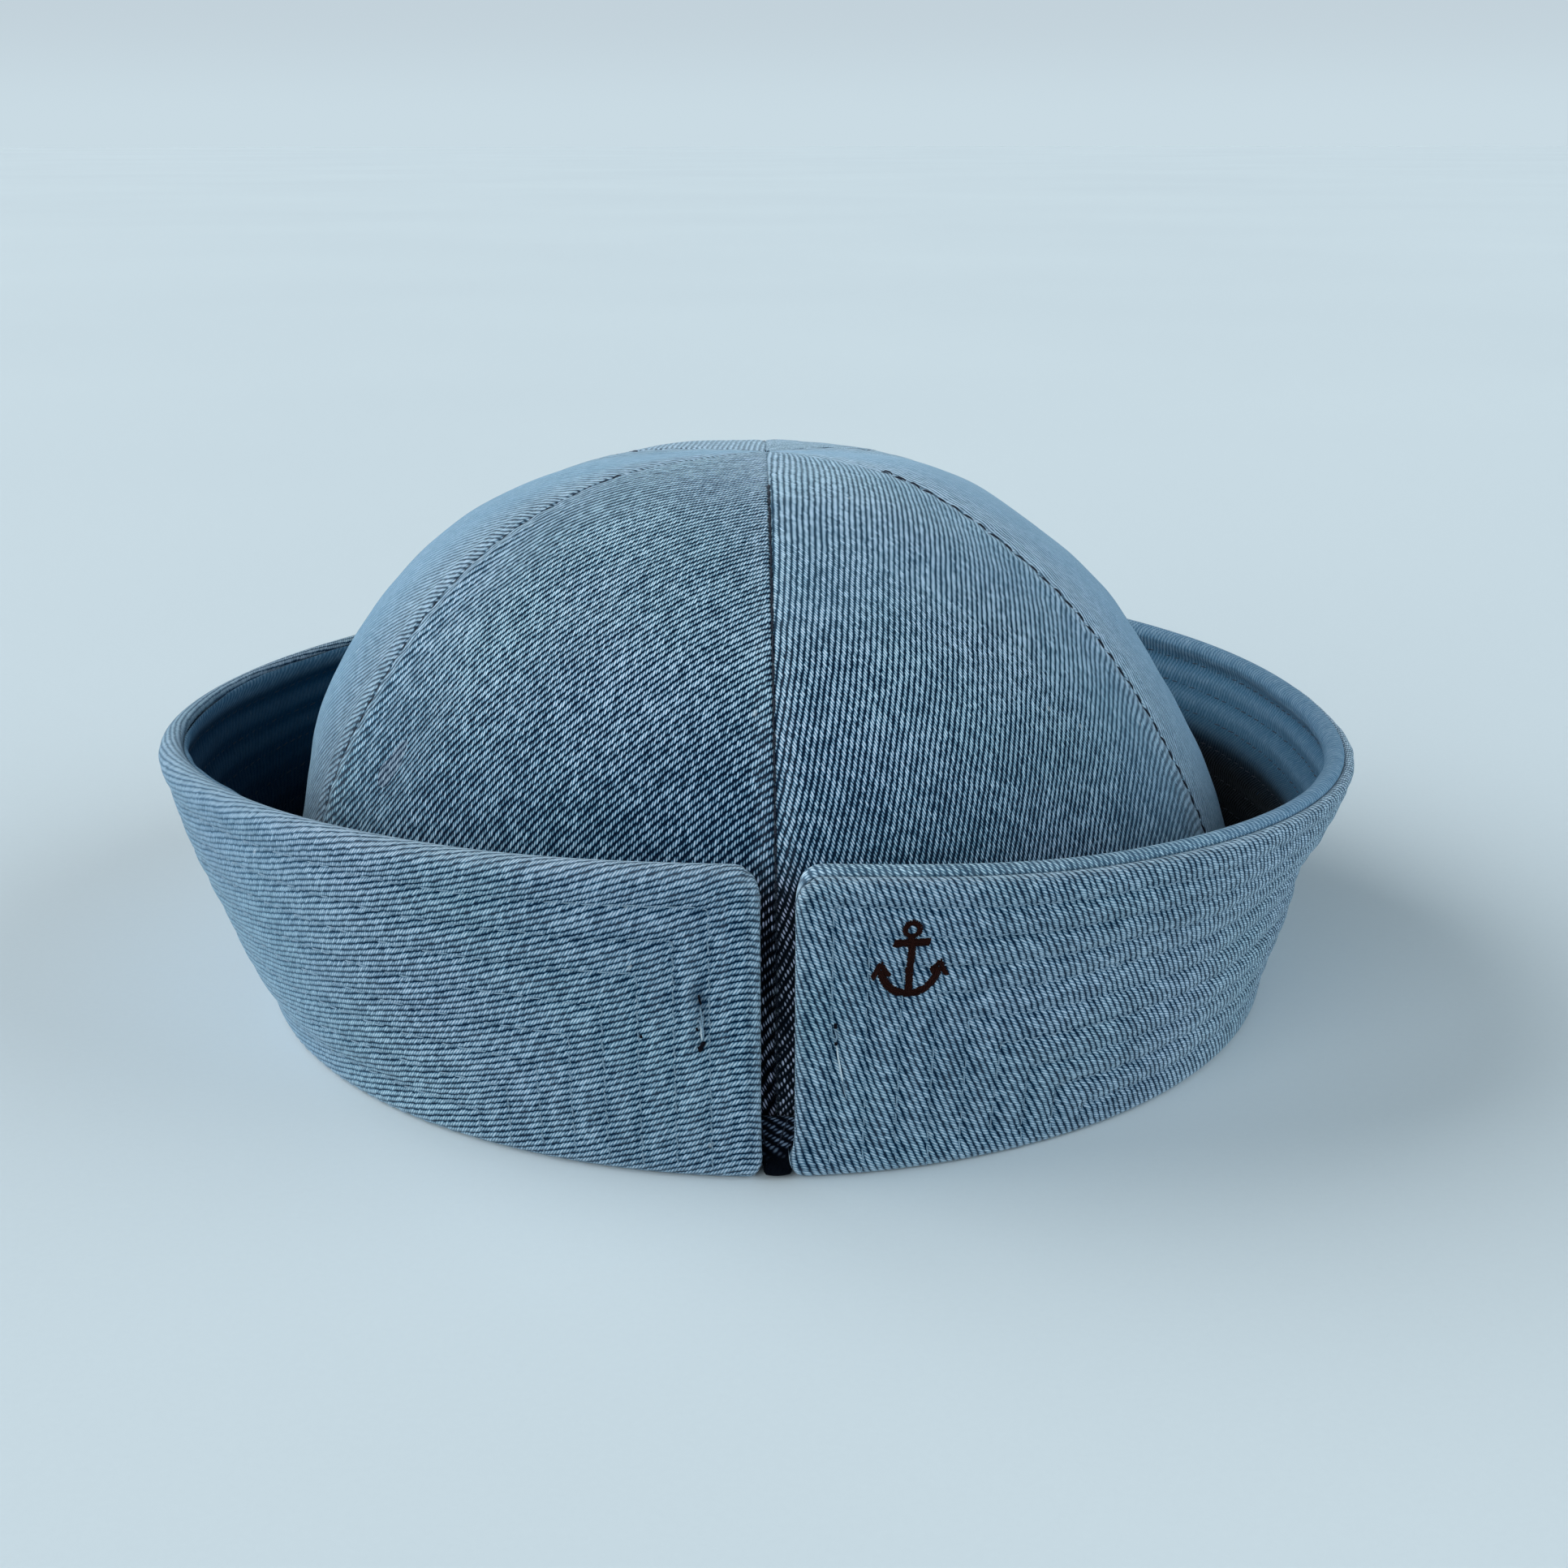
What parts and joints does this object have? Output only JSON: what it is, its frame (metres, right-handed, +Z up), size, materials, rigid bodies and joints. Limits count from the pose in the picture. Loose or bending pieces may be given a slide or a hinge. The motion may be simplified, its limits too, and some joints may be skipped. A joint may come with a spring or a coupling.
{
  "type": "sailor cap",
  "caption": "Soft twill sailor cap: a rounded gored crown inside a turned-up stitched brim that flares at the sides and is split at the centre back.",
  "frame": {"origin": "middle of the ground the whole cap covers, on the surface it stands on", "axes": "+Z up through the crown, -Y towards the split at the centre back, +X to the right seen from behind"},
  "size_m": [0.2182, 0.224, 0.0945],
  "materials": {
    "crown_cloth": "washed light blue denim twill, matt",
    "brim_cloth": "washed light blue denim twill, matt, quilted with rows of tonal stitching",
    "facing_cloth": "washed blue denim twill, matt, quilted with the same rows",
    "band_cloth": "dark blue folded twill, matt"
  },
  "bodies": {
    "root": {"crown_panel_back_left": "crown_cloth", "crown_panel_back_right": "crown_cloth", "crown_panel_side_left": "crown_cloth", "crown_panel_side_right": "crown_cloth", "crown_panel_front_left": "crown_cloth", "crown_panel_front_right": "crown_cloth", "brim_outer": "brim_cloth", "brim_facing": "facing_cloth", "edge_band": "band_cloth"}
  },
  "joints": []
}
